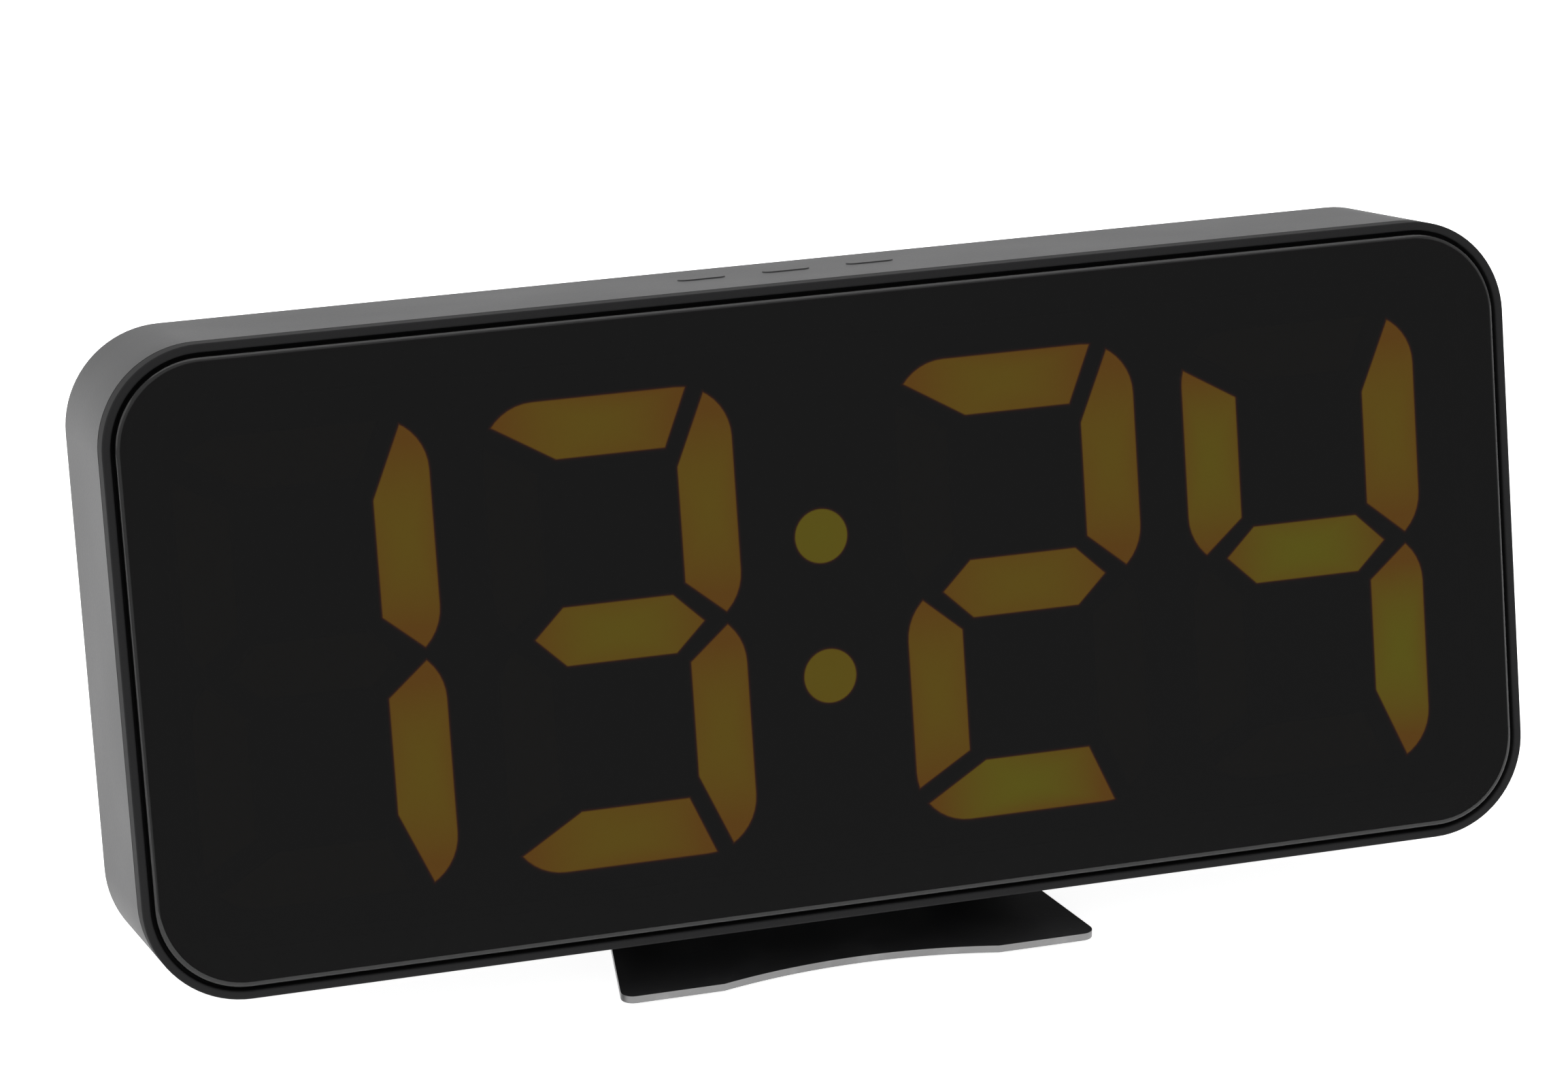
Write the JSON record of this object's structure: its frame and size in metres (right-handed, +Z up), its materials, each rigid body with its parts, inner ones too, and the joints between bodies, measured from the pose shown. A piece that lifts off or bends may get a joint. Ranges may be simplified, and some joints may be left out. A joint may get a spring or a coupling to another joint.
{
  "type": "alarm clock",
  "caption": "Table alarm clock with a wide smoked lens, large amber digits, a leaning grey case and a folding sheet foot.",
  "frame": {"origin": "middle of the clock's footprint, on the surface that it stands on", "axes": "+X to the right of a person facing the display, +Y from the display to the back, +Z up"},
  "size_m": [0.188, 0.046, 0.0901],
  "materials": {
    "shell": "fine spark-textured dark grey moulding",
    "frame": "satin black moulding",
    "lens": "polished smoked acrylic",
    "tape": "black foam tape",
    "mask": "dull black moulding",
    "guide": "translucent amber moulding",
    "display_glow": "lit amber light guide",
    "board": "green solder resist",
    "component": "moulded component body",
    "tin": "plated steel",
    "button": "satin moulded caps",
    "ribbon": "flat white ribbon",
    "copper": "copper foil",
    "foot": "black painted steel sheet",
    "rubber": "soft black pads",
    "label": "blank satin label"
  },
  "bodies": {
    "clock": {"housing": "shell", "front_frame": "frame", "lens": "lens", "lens_tape": "tape", "display_mask": "mask", "digit_guide_1": "guide", "digit_guide_2": "guide", "digit_guide_3": "guide", "digit_guide_4": "guide", "colon_guide": "guide", "display_board": "board", "main_board": "board", "ribbon_cable": "ribbon", "mcu_chip": "component", "crystal": "tin", "capacitor_1": "component", "capacitor_2": "component", "power_inlet": "component", "buzzer": "component", "cell_holder": "component", "coin_cell": "tin", "slide_switch": "component", "touch_plate": "copper", "touch_wire": "copper", "rating_label": "label", "mode_switch": "component", "hour_switch": "component", "minute_switch": "component", "alarm_switch": "component", "dimmer_switch": "component", "case_screw_1": "tin", "display_screw_1": "tin", "board_screw_1": "tin", "case_screw_2": "tin", "display_screw_2": "tin", "board_screw_2": "tin", "case_screw_3": "tin", "display_screw_3": "tin", "board_screw_3": "tin", "case_screw_4": "tin", "display_screw_4": "tin", "board_screw_4": "tin"},
    "foot": {"foot_plate": "foot", "hinge_pin_left": "tin", "hinge_pin_right": "tin", "hinge_clip_left": "tin", "hinge_clip_right": "tin", "foot_pad_front_left": "rubber", "foot_pad_front_right": "rubber", "foot_pad_rear_left": "rubber", "foot_pad_rear_right": "rubber"},
    "mode_button": {"mode_button": "button"},
    "hour_button": {"hour_button": "button"},
    "minute_button": {"minute_button": "button"},
    "alarm_button": {"alarm_button": "button"},
    "dimmer_button": {"dimmer_button": "button"},
    "slide_knob": {"slide_knob": "button"},
    "battery_door": {"battery_door": "shell"}
  },
  "joints": [
    {"name": "foot_fold", "type": "hinge", "parent": "clock", "child": "foot", "pos_m": [0, 0.0073, 0.0043], "axis": [-1, 0, 0], "range_deg": [0, 13]},
    {"name": "mode_press", "type": "slide", "parent": "clock", "child": "mode_button", "axis": [0, -0.9744, 0.225], "range_m": [0, 0.0006], "stiffness_N_per_m": 600, "springref_m": -0.0005},
    {"name": "hour_press", "type": "slide", "parent": "clock", "child": "hour_button", "axis": [0, -0.9744, 0.225], "range_m": [0, 0.0006], "stiffness_N_per_m": 600, "springref_m": -0.0005},
    {"name": "minute_press", "type": "slide", "parent": "clock", "child": "minute_button", "axis": [0, -0.9744, 0.225], "range_m": [0, 0.0006], "stiffness_N_per_m": 600, "springref_m": -0.0005},
    {"name": "alarm_press", "type": "slide", "parent": "clock", "child": "alarm_button", "axis": [0, -0.9744, 0.225], "range_m": [0, 0.0006], "stiffness_N_per_m": 600, "springref_m": -0.0005},
    {"name": "dimmer_press", "type": "slide", "parent": "clock", "child": "dimmer_button", "axis": [0, -0.9744, 0.225], "range_m": [0, 0.0006], "stiffness_N_per_m": 600, "springref_m": -0.0005},
    {"name": "alarm_slide", "type": "slide", "parent": "clock", "child": "slide_knob", "axis": [1, 0, 0], "range_m": [0, 0.004]},
    {"name": "door_lift", "type": "slide", "parent": "clock", "child": "battery_door", "axis": [0, 0.9744, -0.225], "range_m": [0, 0.015]}
  ]
}
